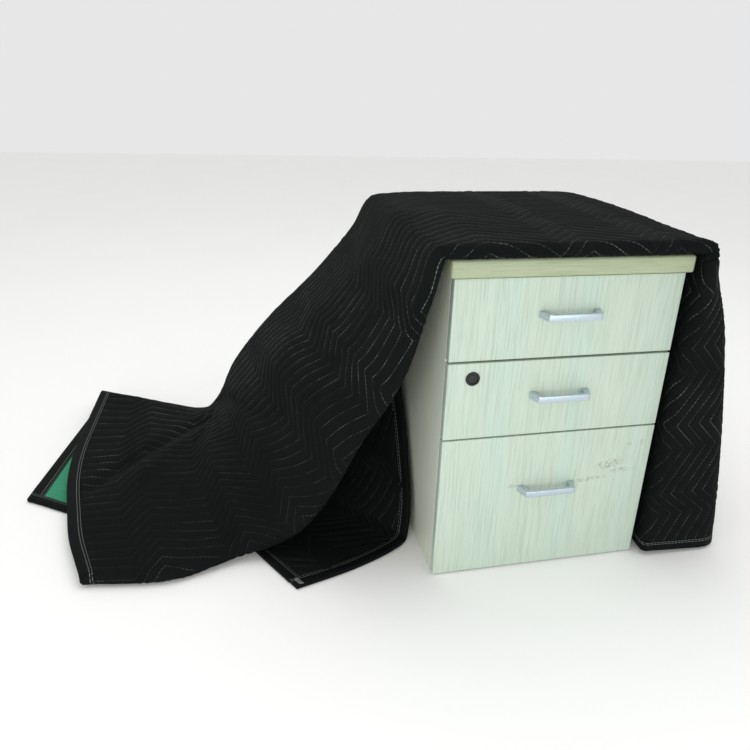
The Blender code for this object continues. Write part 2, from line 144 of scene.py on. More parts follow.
# Each section of the pad at one u, as the places of its fold lines. front is its front edge,
# valley and ridge are the pleat's two folds, brow is the soft trough behind the ridge,
# crown is the middle, eave is where it turns down at the rear, heel is where it meets the
# floor behind, and tail is its rear edge.
FOLD_NAMES = ("front", "valley", "ridge", "brow", "crown", "eave", "heel", "tail")
SECTIONS = (
    (
        0.00,
        (0.226, -0.035, 0.005),
        (0.250, 0.130, 0.012),
        (0.224, -0.268, 0.0125),
        (0.378, -0.270, 0.005),
        (0.440, -0.010, 0.005),
        (0.440, 0.340, 0.005),
        (0.545, 0.545, 0.005),
        (0.590, 0.640, 0.005),
    ),
    (
        0.15,
        (0.224, -0.030, 0.135),
        (0.247, 0.135, 0.140),
        (0.223, -0.266, 0.140),
        (0.362, -0.264, 0.145),
        (0.418, 0.000, 0.150),
        (0.415, 0.330, 0.150),
        (0.470, 0.530, 0.075),
        (0.475, 0.605, 0.005),
    ),
    (
        0.30,
        (0.224, -0.020, 0.285),
        (0.242, 0.140, 0.285),
        (0.223, -0.267, 0.285),
        (0.338, -0.262, 0.292),
        (0.380, 0.000, 0.300),
        (0.382, 0.320, 0.300),
        (0.375, 0.475, 0.115),
        (0.340, 0.545, 0.005),
    ),
    (
        0.45,
        (0.224, -0.010, 0.430),
        (0.238, 0.145, 0.430),
        (0.224, -0.270, 0.435),
        (0.304, -0.258, 0.440),
        (0.335, 0.000, 0.445),
        (0.333, 0.300, 0.445),
        (0.290, 0.420, 0.120),
        (0.240, 0.490, 0.005),
    ),
    (
        0.56,
        (0.222, 0.000, 0.530),
        (0.235, 0.150, 0.534),
        (0.230, -0.274, 0.537),
        (0.264, -0.250, 0.543),
        (0.274, 0.000, 0.551),
        (0.273, 0.282, 0.551),
        (0.230, 0.390, 0.120),
        (0.195, 0.445, 0.005),
    ),
    (
        0.63,
        (0.217, 0.000, 0.5925),
        (0.222, 0.130, 0.598),
        (0.223, -0.275, 0.602),
        (0.227, -0.235, 0.6065),
        (0.230, 0.050, 0.6115),
        (0.230, 0.272, 0.607),
        (0.200, 0.375, 0.120),
        (0.175, 0.425, 0.005),
    ),
    (
        0.70,
        (0.155, 0.000, 0.5930),
        (0.155, 0.130, 0.6000),
        (0.155, -0.276, 0.6045),
        (0.155, -0.200, 0.6135),
        (0.155, 0.020, 0.6195),
        (0.155, 0.274, 0.6095),
        (0.150, 0.372, 0.120),
        (0.150, 0.410, 0.0050),
    ),
    (
        0.98,
        (-0.140, 0.000, 0.5930),
        (-0.140, 0.130, 0.6000),
        (-0.140, -0.280, 0.6045),
        (-0.140, -0.200, 0.6135),
        (-0.140, 0.020, 0.6195),
        (-0.140, 0.272, 0.6095),
        (-0.150, 0.372, 0.120),
        (-0.150, 0.410, 0.0050),
    ),
    (
        1.05,
        (-0.2185, 0.000, 0.5925),
        (-0.2245, 0.130, 0.5985),
        (-0.227, -0.274, 0.6035),
        (-0.231, -0.200, 0.6095),
        (-0.235, 0.000, 0.616),
        (-0.2225, 0.266, 0.604),
        (-0.220, 0.385, 0.095),
        (-0.222, 0.408, 0.005),
    ),
    (
        1.12,
        (-0.228, 0.000, 0.538),
        (-0.246, 0.135, 0.536),
        (-0.247, -0.270, 0.537),
        (-0.264, -0.200, 0.552),
        (-0.272, 0.000, 0.558),
        (-0.260, 0.264, 0.544),
        (-0.268, 0.430, 0.060),
        (-0.270, 0.405, 0.005),
    ),
    (
        1.26,
        (-0.235, -0.003, 0.430),
        (-0.300, 0.120, 0.410),
        (-0.281, -0.257, 0.405),
        (-0.318, -0.190, 0.432),
        (-0.352, 0.000, 0.448),
        (-0.348, 0.266, 0.440),
        (-0.362, 0.455, 0.0300),
        (-0.355, 0.375, 0.0050),
    ),
    (
        1.41,
        (-0.222, -0.020, 0.310),
        (-0.335, 0.110, 0.300),
        (-0.343, -0.221, 0.267),
        (-0.385, -0.150, 0.305),
        (-0.440, 0.020, 0.345),
        (-0.453, 0.272, 0.334),
        (-0.450, 0.470, 0.006),
        (-0.440, 0.200, 0.005),
    ),
    (
        1.55,
        (-0.215, -0.075, 0.190),
        (-0.345, 0.090, 0.170),
        (-0.398, -0.190, 0.138),
        (-0.442, -0.115, 0.182),
        (-0.502, 0.055, 0.227),
        (-0.531, 0.300, 0.218),
        (-0.525, 0.475, 0.006),
        (-0.525, 0.120, 0.005),
    ),
    (
        1.66,
        (-0.214, -0.120, 0.092),
        (-0.335, 0.050, 0.090),
        (-0.453, -0.160, 0.058),
        (-0.497, -0.080, 0.098),
        (-0.547, 0.090, 0.140),
        (-0.565, 0.350, 0.116),
        (-0.578, 0.490, 0.006),
        (-0.600, 0.070, 0.005),
    ),
    (
        1.76,
        (-0.225, -0.150, 0.012),
        (-0.370, 0.010, 0.036),
        (-0.530, -0.150, 0.026),
        (-0.565, -0.050, 0.055),
        (-0.605, 0.120, 0.080),
        (-0.606, 0.390, 0.050),
        (-0.635, 0.500, 0.006),
        (-0.685, 0.030, 0.005),
    ),
    (
        1.90,
        (-0.335, -0.208, 0.0050),
        (-0.490, -0.005, 0.0150),
        (-0.672, -0.185, 0.0140),
        (-0.700, -0.060, 0.034),
        (-0.742, 0.150, 0.050),
        (-0.740, 0.490, 0.045),
        (-0.752, 0.540, 0.0060),
        (-0.800, 0.030, 0.0050),
    ),
    (
        2.03,
        (-0.446, -0.243, 0.005),
        (-0.600, 0.032, 0.0122),
        (-0.8105, -0.168, 0.014),
        (-0.850, -0.050, 0.020),
        (-0.897, 0.200, 0.026),
        (-0.872, 0.570, 0.046),
        (-0.878, 0.582, 0.0055),
        (-0.961, 0.121, 0.005),
    ),
)

# How far each turn of a section is rounded off, and in how many steps
TURNS = (
    ("front", 0.0, 0),
    ("valley_under", VALLEY_OPENING / 2, 6),
    ("valley_over", VALLEY_OPENING / 2, 6),
    ("ridge_under", RIDGE_OPENING / 2, 6),
    ("ridge_over", RIDGE_OPENING / 2, 6),
    ("brow", 0.040, 6),
    ("crown", 0.120, 8),
    ("eave", 0.050, 8),
    ("heel", 0.030, 6),
    ("tail", 0.0, 0),
)
PLEAT_TURNS = ("valley_under", "valley_over", "ridge_under", "ridge_over")
WIDEST_CUT = 0.46

# Bars of stitching where two tapes meet
BARTACK_LENGTH = 0.017
BARTACK_WIDTH = 0.008
BARTACK_TURNS = 6
BARTACK_THREAD = 0.0005
BARTACK_INSET = 0.001

# Cabinet
BOARD_EDGE = 0.0009
FRONT_EDGE = 0.0011
TOP_EDGE = 0.0050
HANDLE_BAR = 0.006
HANDLE_FOOT = 0.012
HANDLE_SLOPE = 0.008
HANDLE_ROUND = 0.0035
HANDLE_EDGE = 0.0012
HANDLE_SEAT = 0.004
LEVEL = 1e-5
SHARP_ANGLE = math.radians(40)
TURNED_SHARP_ANGLE = math.radians(35)

# Lock, in shares of its radius and of how far it stands out
LOCK_SIDES = 64
LOCK_RING = ((1, 0), (1, 0.7), (0.93, 1), (0.74, 1), (0.70, 0.45), (0.10, 0.45))
LOCK_CORE = ((0.62, 0.4), (0.62, 0.7), (0.56, 0.82), (0.05, 0.82))
KEYWAY_WIDTH = 0.14
KEYWAY_DEPTH = 0.2
KEYWAY_HEIGHT = 0.75
KEYWAY_PROUD = 0.78
KEYWAY_EDGE = 0.02

# Laminate: how fast its grain changes along X, Y and Z
GRAIN_UPRIGHT = (60.0, 60.0, 1.2)
GRAIN_LEVEL = (1.2, 60.0, 60.0)
LAMINATE_ROUGHNESS = 0.42

# Rub marks on the bottom drawer: x, z, half length, half height, slope
SCUFFS = (
    (-0.063, 0.176, 0.013, 0.005, 0.10),
    (0.083, 0.175, 0.052, 0.005, 0.08),
    (0.122, 0.203, 0.032, 0.012, 0.10),
    (0.145, 0.188, 0.030, 0.006, 0.05),
    (0.155, 0.241, 0.006, 0.005, 0.0),
    (0.181, 0.243, 0.005, 0.008, 0.0),
    (0.129, 0.235, 0.004, 0.004, 0.0),
)

# The camera, fitted to the cabinet's edges
CAMERA_PLACE = (-0.5398, -1.2110, 0.8319)
CAMERA_RIGHT = (0.97428, -0.22264, 0.03472)
CAMERA_UP = (0.05269, 0.37495, 0.92555)
CAMERA_AHEAD = (0.21908, 0.89992, -0.37704)
CAMERA_LENS = 32.98
CAMERA_SENSOR = 36.0
CAMERA_SHIFT = (-0.01205, -0.01919)

FLOOR_SIZE = 14.0
WORLD_STRENGTH = 0.80

# Studio lights: name, place, what it is aimed at, size, watts, colour
LIGHTS = (
    ("overhead", (-0.1, 0.2, 2.8), (-0.1, 0.0, 0.3), (2.4, 2.0), 22, (1.0, 1.0, 1.0)),
    ("left_front", (-1.5, -2.5, 0.8), (-0.2, -0.1, 0.25), (1.4, 1.2), 24, (1.0, 0.99, 0.95)),
    ("low_front", (0.3, -2.4, 0.35), (0.0, -0.2, 0.15), (1.8, 0.5), 7, (0.86, 1.0, 0.98)),
)


# Pad's shape


def eased(stations, values, u):
    """A smooth line through the values, with no overshoot between its stations."""
    step = np.diff(stations)[:, None]
    slope = np.diff(values, axis=0) / step
    bend = np.zeros_like(values)
    same = slope[:-1] * slope[1:] > 0
    weight_a = 2 * step[1:] + step[:-1]
    weight_b = step[1:] + 2 * step[:-1]
    safe_a = np.where(same, slope[:-1], 1.0)
    safe_b = np.where(same, slope[1:], 1.0)
    mean = (weight_a + weight_b) / (weight_a / safe_a + weight_b / safe_b)
    bend[1:-1] = np.where(same, mean, 0.0)
    bend[0], bend[-1] = slope[0], slope[-1]
    i = int(np.clip(np.searchsorted(stations, u, side="right") - 1, 0, len(step) - 1))
    t = (u - stations[i]) / step[i, 0]
    h = step[i, 0]
    return (
        (2 * t**3 - 3 * t**2 + 1) * values[i]
        + (t**3 - 2 * t**2 + t) * h * bend[i]
        + (3 * t**2 - 2 * t**3) * values[i + 1]
        + (t**3 - t**2) * h * bend[i + 1]
    )


STATIONS = np.array([row[0] for row in SECTIONS])
FOLD_LINES = np.array([np.concatenate(row[1:]) for row in SECTIONS])


def fold_points(u):
    """Where each fold line crosses the section at u, by name."""
    places = eased(STATIONS, FOLD_LINES, u).reshape(-1, 3)
    return dict(zip(FOLD_NAMES, places))


def unit(vector):
    """The vector at a length of one."""
    return vector / np.linalg.norm(vector)


def section_corners(u):
    """The section's corners, with the two sides of each fold of the pleat apart."""
    at = fold_points(u)
    near = min(max(u, HEADING_STEP), PAD_LENGTH - HEADING_STEP)
    before, after = fold_points(near - HEADING_STEP), fold_points(near + HEADING_STEP)
    corners = []
    for name in FOLD_NAMES:
        if name not in ("valley", "ridge"):
            corners.append(at[name])
            continue
        opening = VALLEY_OPENING if name == "valley" else RIDGE_OPENING
        along = unit(after[name] - before[name])
        side = unit(np.cross(at["valley"] - at["ridge"], along))
        corners += [at[name] - side * opening / 2, at[name] + side * opening / 2]
    return np.array(corners)


def section_line(u):
    """The section at u as points, how far each is across the pad, and the ridge's place."""
    corners = section_corners(u)
    lengths = np.linalg.norm(np.diff(corners, axis=0), axis=1)
    points = [corners[0]]
    ridge_at = 0
    for i, (name, radius, steps) in enumerate(TURNS[1:-1], start=1):
        cut = min(radius, WIDEST_CUT * lengths[i - 1], WIDEST_CUT * lengths[i])
        if name in PLEAT_TURNS:
            cut = radius
        enter = corners[i] + unit(corners[i - 1] - corners[i]) * cut
        leave = corners[i] + unit(corners[i + 1] - corners[i]) * cut
        for k in range(steps + 1):
            t = k / steps
            points.append((1 - t) ** 2 * enter + 2 * t * (1 - t) * corners[i] + t * t * leave)
        if name == "ridge_over":
            ridge_at = len(points) - 1
    points.append(corners[-1])
    points = np.array(points)
    across = np.concatenate([[0], np.cumsum(np.linalg.norm(np.diff(points, axis=0), axis=1))])
    return points, across, across[ridge_at]


def on_section(points, across, places):
    """The points of a section at the given places across it."""
    return np.stack([np.interp(places, across, points[:, k]) for k in range(3)], axis=1)


def zigzag(u):
    """How far a seam has swung across the pad at u, from -0.5 to 0.5."""
    place = (u - ZIGZAG_START) % ZIGZAG_PERIOD
    if place < ZIGZAG_SHORT_LEG:
        return 0.5 - place / ZIGZAG_SHORT_LEG
    return -0.5 + (place - ZIGZAG_SHORT_LEG) / (ZIGZAG_PERIOD - ZIGZAG_SHORT_LEG)


def ramp(places, span):
    """A soft rise from 0 to 1 over the span."""
    t = np.clip((places - span[0]) / (span[1] - span[0]), 0, 1)
    return t * t * (3 - 2 * t)


def rows_along():
    """Every u at which the pad has a row, with one at each turn of the zigzag."""
    first, last = PLY_INSET, PAD_LENGTH - PLY_INSET
    rows = {first, last}
    start = ZIGZAG_START - ZIGZAG_PERIOD
    while start < PAD_LENGTH:
        turn = start + ZIGZAG_SHORT_LEG
        following = start + ZIGZAG_PERIOD
        for k in range(SHORT_LEG_STEPS):
            rows.add(round(start + (turn - start) * k / SHORT_LEG_STEPS, 5))
        for k in range(LONG_LEG_STEPS):
            rows.add(round(turn + (following - turn) * k / LONG_LEG_STEPS, 5))
        start = following
    return np.array(sorted(u for u in rows if first <= u <= last))


def headings(grid, axis):
    """The direction of a grid's lines at each point, halfway between the steps beside it."""
    step = np.diff(grid, axis=axis)
    step = step / np.linalg.norm(step, axis=2)[:, :, None]
    first, last = np.take(step, [0], axis=axis), np.take(step, [-1], axis=axis)
    return np.concatenate([first, step], axis=axis) + np.concatenate([step, last], axis=axis)


def normals_of(grid):
    """The outward side of the pad at each point of its grid."""
    side = np.cross(headings(grid, 1), headings(grid, 0))
    return side / np.linalg.norm(side, axis=2)[:, :, None]


def swell(u, v, width, ridge):
    """How far the loose cloth behind the pleat stands out at (u, v)."""
    wave = sum(np.sin(a * u + b * v + phase) for a, b, phase in SWELL_WAVES)
    ends = min(u, PAD_LENGTH - u) / SWELL_RUN_IN
    inside = np.minimum(v - ridge, width - REAR_MARGIN - v) / SWELL_RUN_IN
    weight = np.clip(np.minimum(inside, ends), 0, 1)
    return SWELL * weight * (1 + wave / len(SWELL_WAVES))


def creased(u, v):
    """How far the creases move the cloth at the places v across it."""
    total = np.zeros_like(v)
    for _, height, half_width, line in CREASES:
        nearest = np.full_like(v, np.inf)
        for (u_a, v_a), (u_b, v_b) in zip(line, line[1:]):
            run_u, run_v = u_b - u_a, v_b - v_a
            share = ((u - u_a) * run_u + (v - v_a) * run_v) / (run_u**2 + run_v**2)
            share = np.clip(share, 0, 1)
            far = np.hypot(u - u_a - share * run_u, v - v_a - share * run_v)
            nearest = np.minimum(nearest, far)
        total += height * np.exp(-((nearest / half_width) ** 2))
    return total


class Pad:
    """The pad's middle surface as a grid, with what its materials need at each point."""

    def __init__(self):
        self.rows = rows_along()
        self.seam_places = np.linspace(0, PAD_WIDTH, CHANNELS * CHANNEL_STEPS + 1)
        self.seam_places = np.clip(self.seam_places, PLY_INSET, PAD_WIDTH - PLY_INSET)
        edge = np.minimum(self.seam_places, PAD_WIDTH - self.seam_places)
        ease = np.clip(edge / SWING_RUN_OUT, 0, 1)
        drifting = ramp(self.seam_places, DRIFT_RISE) - ramp(self.seam_places, DRIFT_FALL)
        drift = SEAM_DRIFT * drifting
        grid, swells = [], []
        for u in self.rows:
            points, across, ridge = section_line(u)
            width = across[-1]
            places = self.seam_places + ease * ZIGZAG_SWING * zigzag(u) + drift * ramp(u, DRIFT_ALONG)
            places = places * width / PAD_WIDTH
            grid.append(on_section(points, across, places))
            swells.append(swell(u, places, width, ridge) + creased(u, places))
        grid = np.array(grid)
        self.grid = grid + normals_of(grid) * np.array(swells)[:, :, None]
        self.side = normals_of(self.grid)
        self.puff = self.puffs(edge)
        self.run = self.seam_run()

    def puffs(self, edge):
        """The share by which each point is raised between its seams."""
        place = self.seam_places * CHANNELS / PAD_WIDTH
        puff = np.abs(np.sin(math.pi * place)) ** CREST_ROUNDNESS
        inset = np.minimum(edge[None, :], np.minimum(self.rows, PAD_LENGTH - self.rows)[:, None])
        fade = np.clip((inset - TAPE_WIDTH) / HEM_RUN_OUT + CREST_AT_TAPE, 0, 1)
        turn = self.rows[:, None] * UNEVEN_ALONG + np.floor(place)[None, :] * UNEVEN_ACROSS
        uneven = 1 - UNEVEN_SHARE + UNEVEN_SHARE * np.sin(turn)
        return puff[None, :] * fade * uneven

    def seam_run(self):
        """How far each row is along a seam, which is longer than u because it zigzags."""
        swings = np.array([zigzag(u) for u in self.rows]) * ZIGZAG_SWING
        return np.concatenate([[0], np.cumsum(np.hypot(np.diff(self.rows), np.diff(swings)))])


def smooth_mesh(name, verts, faces, notes=None):
    """A smooth-shaded mesh object. notes gives a vector to each point, for its material."""
    mesh = bpy.data.meshes.new(name)
    mesh.from_pydata(verts.tolist(), [], faces)
    mesh.polygons.foreach_set("use_smooth", [True] * len(mesh.polygons))
    if notes is not None:
        layer = mesh.attributes.new("flat_place", "FLOAT_VECTOR", "POINT")
        layer.data.foreach_set("vector", notes.astype(np.float32).ravel())
    obj = bpy.data.objects.new(name, mesh)
    bpy.context.scene.collection.objects.link(obj)
    return obj


def grid_faces(rows, columns, outward=True):
    """The quads of a grid, seen from its outward side or from behind."""
    faces = []
    for i in range(rows - 1):
        for j in range(columns - 1):
            a = i * columns + j
            quad = (a, a + 1, a + columns + 1, a + columns)
            faces.append(quad if outward else quad[::-1])
    return faces


def cloth_layer(name, pad, offset, crest, outward):
    """One ply of the pad, its seams drawn in and its channels raised away from the middle.

    Each point keeps its place across the pad, how far it is along its seam, and its u.
    """
    height = offset + crest * pad.puff
    verts = pad.grid + pad.side * height[:, :, None]
    rows, columns = verts.shape[:2]
    notes = np.zeros_like(verts)
    notes[:, :, 0] = pad.seam_places[None, :]
    notes[:, :, 1] = pad.run[:, None]
    notes[:, :, 2] = pad.rows[:, None]
    faces = grid_faces(rows, columns, outward)
    return smooth_mesh(name, verts.reshape(-1, 3), faces, notes.reshape(-1, 3))


def tape(name, rails, capped=False):
    """A tape folded over an edge. rails run from its inner line to the edge itself.

    Each rail is (points, sides): the line on the pad's middle surface and its outward side.
    A capped tape is closed at both of its ends.
    """
    over = (FACE_THICK + BACK_THICK) / 2 + TAPE_THICK
    under = over - TAPE_THICK
    points = [rail[0] for rail in rails]
    sides = [rail[1] for rail in rails]
    edge, edge_side = points[-1], sides[-1]
    outward = points[-1] - points[-2]
    outward = outward / np.linalg.norm(outward, axis=1)[:, None]
    lines = [(points[0] + sides[0] * under, 0.0)]
    for k, (point, side) in enumerate(rails):
        lines.append((point + side * over, TAPE_WIDTH * k / (TAPE_RAILS - 1)))
    for k in range(1, LIP_STEPS):
        angle = math.pi * k / LIP_STEPS
        reach = outward * math.sin(angle) * LIP_REACH
        lines.append((edge + reach + edge_side * over * math.cos(angle), TAPE_WIDTH))
    for k, (point, side) in enumerate(rails[::-1]):
        lines.append((point - side * over, TAPE_WIDTH * (1 - k / (TAPE_RAILS - 1))))
    lines.append((points[0] - sides[0] * under, 0.0))
    verts = np.stack([line for line, _ in lines], axis=1)
    stations, count = verts.shape[:2]
    run = np.concatenate([[0], np.cumsum(np.linalg.norm(np.diff(edge, axis=0), axis=1))])
    notes = np.zeros_like(verts)
    notes[:, :, 0] = np.array([place for _, place in lines])[None, :]
    notes[:, :, 1] = run[:, None]
    faces = grid_faces(stations, count)
    if capped:
        last = (stations - 1) * count
        for k in range(count // 2):
            faces.append((k + 1, k, count - 1 - k, count - 2 - k))
            faces.append((last + k, last + k + 1, last + count - 2 - k, last + count - 1 - k))
    obj = smooth_mesh(name, verts.reshape(-1, 3), faces, notes.reshape(-1, 3))
    shape = bmesh.new()
    shape.from_mesh(obj.data)
    bmesh.ops.recalc_face_normals(shape, faces=shape.faces)
    shape.to_mesh(obj.data)
    shape.free()
    return obj


def long_tape(name, pad, front):
    """A tape along the front or the rear edge."""
    lines = []
    for u in (0.0, *pad.rows[1:-1], PAD_LENGTH):
        points, across, _ = section_line(u)
        places = np.linspace(TAPE_WIDTH, 0, TAPE_RAILS)
        lines.append(on_section(points, across, places if front else across[-1] - places))
    grid = np.array(lines)
    side = normals_of(grid) * (-1 if front else 1)
    return tape(name, [(grid[:, k], side[:, k]) for k in range(TAPE_RAILS)], capped=True)


def end_tape(name, at_right):
    """A tape along one end, between the two long ones."""
    inner, edge = (TAPE_WIDTH, 0.0) if at_right else (PAD_LENGTH - TAPE_WIDTH, PAD_LENGTH)
    lines = []
    for u in np.linspace(inner, edge, TAPE_RAILS):
        points, across, _ = section_line(u)
        places = np.linspace(TAPE_WIDTH, across[-1] - TAPE_WIDTH, CHANNELS * CHANNEL_STEPS)
        lines.append(on_section(points, across, places))
    grid = np.array(lines)
    side = normals_of(grid) * (-1 if at_right else 1)
    return tape(name, [(grid[k], side[k]) for k in range(TAPE_RAILS)])


def thread(name, path, radius):
    """A thread along a path, as a tube of six sides."""
    curve = bpy.data.curves.new(name, "CURVE")
    curve.dimensions = "3D"
    curve.bevel_depth = radius
    curve.bevel_resolution = 1
    spline = curve.splines.new("POLY")
    spline.points.add(len(path) - 1)
    for point, place in zip(spline.points, path):
        point.co = (*place, 1.0)
    obj = bpy.data.objects.new(name, curve)
    bpy.context.scene.collection.objects.link(obj)
    return obj


def bartack(name, u, front):
    """A bar of zigzag stitching that holds the tapes together at a corner."""
    middle_of_tape = TAPE_WIDTH / 2 if u == 0 else u - TAPE_WIDTH / 2
    lines = []
    for row in (middle_of_tape - BARTACK_WIDTH / 2, middle_of_tape + BARTACK_WIDTH / 2):
        points, across, _ = section_line(row)
        places = np.linspace(BARTACK_INSET, BARTACK_INSET + BARTACK_LENGTH, 2)
        lines.append(on_section(points, across, places if front else across[-1] - places[::-1]))
    grid = np.array(lines)
    side = normals_of(grid)[0, 0]
    middle = grid.mean(axis=0)
    along = unit(middle[1] - middle[0])
    across_bar = unit(grid[1, 0] - grid[0, 0])
    lift = side * ((FACE_THICK + BACK_THICK) / 2 + TAPE_THICK + BARTACK_THREAD)
    path = []
    for k in range(2 * BARTACK_TURNS + 1):
        share = k / (2 * BARTACK_TURNS)
        swing = BARTACK_WIDTH / 2 * (1 if k % 2 else -1)
        path.append(middle[0] + along * share * BARTACK_LENGTH + across_bar * swing + lift)
    return thread(name, path, BARTACK_THREAD)


# Cabinet's shape


def bevelled(name, shape, edges, offset, steps=2, band=0):
    """The shape as an object, with the given edges rounded off. band is their material's index."""
    bmesh.ops.bevel(
        shape,
        geom=edges,
        offset=offset,
        segments=steps,
        profile=0.5,
        affect="EDGES",
        clamp_overlap=True,
        material=band,
    )
    bmesh.ops.recalc_face_normals(shape, faces=shape.faces)
    mesh = bpy.data.meshes.new(name)
    shape.to_mesh(mesh)
    shape.free()
    mesh.polygons.foreach_set("use_smooth", [True] * len(mesh.polygons))
    mesh.set_sharp_from_angle(angle=SHARP_ANGLE)
    obj = bpy.data.objects.new(name, mesh)
    bpy.context.scene.collection.objects.link(obj)
    return obj


def board(name, node, edge):
    """The board of a node, with its edges eased."""
    low, high = (Vector(corner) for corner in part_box(node))
    shape = bmesh.new()
    bmesh.ops.create_cube(shape, size=1.0)
    bmesh.ops.scale(shape, vec=high - low, verts=shape.verts)
    bmesh.ops.translate(shape, vec=(low + high) / 2, verts=shape.verts)
    obj = bevelled(name, shape, shape.edges[:], edge, steps=3, band=1)
    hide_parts(node)
    return obj


def rise(edge):
    """How far apart in height the two ends of an edge are."""
    return abs(edge.verts[0].co.z - edge.verts[1].co.z)


def handle(name, node):
    """A flat bow on two sloping feet, its corners rounded and its edges eased."""
    low, high = (Vector(corner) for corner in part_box(node))
    middle = (low.x + high.x) / 2
    half = (high.x - low.x) / 2
    seat, reach = high.y, low.y
    outline = [
        (half, seat),
        (half - HANDLE_SLOPE, reach),
        (-half + HANDLE_SLOPE, reach),
        (-half, seat),
        (-half + HANDLE_FOOT, seat),
        (-half + HANDLE_FOOT + HANDLE_SLOPE / 2, reach + HANDLE_BAR),
        (half - HANDLE_FOOT - HANDLE_SLOPE / 2, reach + HANDLE_BAR),
        (half - HANDLE_FOOT, seat),
    ]
    shape = bmesh.new()
    ring = [shape.verts.new((middle + x, y, low.z)) for x, y in outline]
    base = shape.faces.new(ring)
    raised = bmesh.ops.extrude_face_region(shape, geom=[base])["geom"]
    top = [v for v in raised if isinstance(v, bmesh.types.BMVert)]
    bmesh.ops.translate(shape, vec=(0, 0, high.z - low.z), verts=top)
    upright = [e for e in shape.edges if rise(e) > LEVEL and e.verts[0].co.y < seat - HANDLE_SEAT]
    bmesh.ops.bevel(
        shape,
        geom=upright,
        offset=HANDLE_ROUND,
        segments=4,
        profile=0.5,
        affect="EDGES",
        clamp_overlap=True,
    )
    level = [e for e in shape.edges if rise(e) < LEVEL]
    obj = bevelled(name, shape, level, HANDLE_EDGE)
    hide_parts(node)
    return obj


def turned(name, outline, centre, sides):
    """A round piece about a line along -Y, from (radius, how far it stands out) pairs."""
    count = len(outline)
    verts = []
    for i in range(sides):
        angle = 2 * math.pi * i / sides
        for radius, proud in outline:
            verts.append((radius * math.cos(angle), -proud, radius * math.sin(angle)))
    faces = []
    for i in range(sides):
        for j in range(count - 1):
            a, b = i * count + j, (i + 1) % sides * count + j
            faces.append((a, b, b + 1, a + 1))
    faces.append([i * count for i in range(sides)][::-1])
    faces.append([i * count + count - 1 for i in range(sides)])
    obj = smooth_mesh(name, np.array(verts) + np.array(centre), faces)
    obj.data.set_sharp_from_angle(angle=TURNED_SHARP_ANGLE)
    return obj


def lock():
    """A lock barrel: a black ring, a core a little lower, and its keyway, a black block that is
    painted shade for the key slot.
    """
    low, high = (Vector(corner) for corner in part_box("lock"))
    centre = ((low.x + high.x) / 2, high.y, (low.z + high.z) / 2)
    radius = (high.x - low.x) / 2
    proud = high.y - low.y
    ring = [(radius * out, proud * up) for out, up in LOCK_RING]
    collar = turned("lock_collar", ring, centre, LOCK_SIDES)
    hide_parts("lock")
    dish = [(radius * out, proud * up) for out, up in LOCK_CORE]
    core = turned("lock_core", dish, centre, LOCK_SIDES)
    shape = bmesh.new()
    bmesh.ops.create_cube(shape, size=1.0)
    size = (radius * KEYWAY_WIDTH, proud * KEYWAY_DEPTH, radius * KEYWAY_HEIGHT)
    bmesh.ops.scale(shape, vec=size, verts=shape.verts)
    place = (centre[0], centre[1] - proud * KEYWAY_PROUD, centre[2])
    bmesh.ops.translate(shape, vec=place, verts=shape.verts)
    keyway = bevelled("lock_keyway", shape, shape.edges[:], radius * KEYWAY_EDGE)
    return collar, core, keyway


# Materials


def node(tree, kind, sockets=None, **settings):
    """Adds a node. Each of its sockets is given a value, or another node's output."""
    made = tree.nodes.new(kind)
    for name, value in settings.items():
        setattr(made, name, value)
    for name, value in (sockets or {}).items():
        if isinstance(value, bpy.types.NodeSocket):
            tree.links.new(value, made.inputs[name])
        else:
            made.inputs[name].default_value = value
    return made


def maths(tree, operation, first, second=0.0):
    """The result of one sum on one or two numbers."""
    return node(tree, "ShaderNodeMath", {0: first, 1: second}, operation=operation).outputs[0]


def combined(tree, operation, first, *others):
    """The same sum carried on over several numbers."""
    for other in others:
        first = maths(tree, operation, first, other)
    return first


def mixed(tree, share, first, second):
    """A colour between two others."""
    made = node(tree, "ShaderNodeMix", {0: share, 6: first, 7: second}, data_type="RGBA")
    return made.outputs[2]


def rescaled(tree, value, low, high, new_low=0.0, new_high=1.0):
    """The value stretched from one range to another, and held at its ends."""
    sockets = {0: value, 1: low, 2: high, 3: new_low, 4: new_high}
    return node(tree, "ShaderNodeMapRange", sockets).outputs[0]


def noise(tree, place, scale, detail, roughness=0.5, distortion=0.0):
    """A number that drifts between 0 and 1, with scale as its waves in a metre."""
    sockets = {"Vector": place, "Scale": scale, "Detail": detail}
    sockets.update({"Roughness": roughness, "Distortion": distortion})
    return node(tree, "ShaderNodeTexNoise", sockets).outputs["Fac"]


def ribs(tree, place, direction, scale, distortion):
    """The ridges of a weave."""
    sockets = {"Vector": place, "Scale": scale, "Distortion": distortion, "Detail": 1.0}
    return node(tree, "ShaderNodeTexWave", sockets, bands_direction=direction).outputs["Fac"]


def new_material(name, roughness, metallic=0.0):
    """A material and its tree, its shader ready for a colour and a bump."""
    made = bpy.data.materials.new(name)
    made.use_nodes = True
    tree = made.node_tree
    shader = tree.nodes["Principled BSDF"]
    shader.inputs["Roughness"].default_value = roughness
    shader.inputs["Metallic"].default_value = metallic
    return made, tree, shader


def linear(red, green, blue):
    """A colour given in the eight-bit steps of a picture, as the shader wants it."""
    shares = [c / 255 for c in (red, green, blue)]
    return tuple(((c + 0.055) / 1.055) ** 2.4 if c > 0.04045 else c / 12.92 for c in shares) + (1.0,)


def darkened(colour, share):
    """The colour with each of its parts brought down."""
    return tuple(part * share for part in colour[:3]) + (1.0,)


def coloured(tree, shader, colour):
    """Gives the shader its colour."""
    tree.links.new(colour, shader.inputs["Base Color"])


def bumped(tree, shader, height, strength, distance):
    """Gives the shader a fine relief."""
    bump = node(tree, "ShaderNodeBump", {"Height": height, "Strength": strength, "Distance": distance})
    tree.links.new(bump.outputs[0], shader.inputs["Normal"])


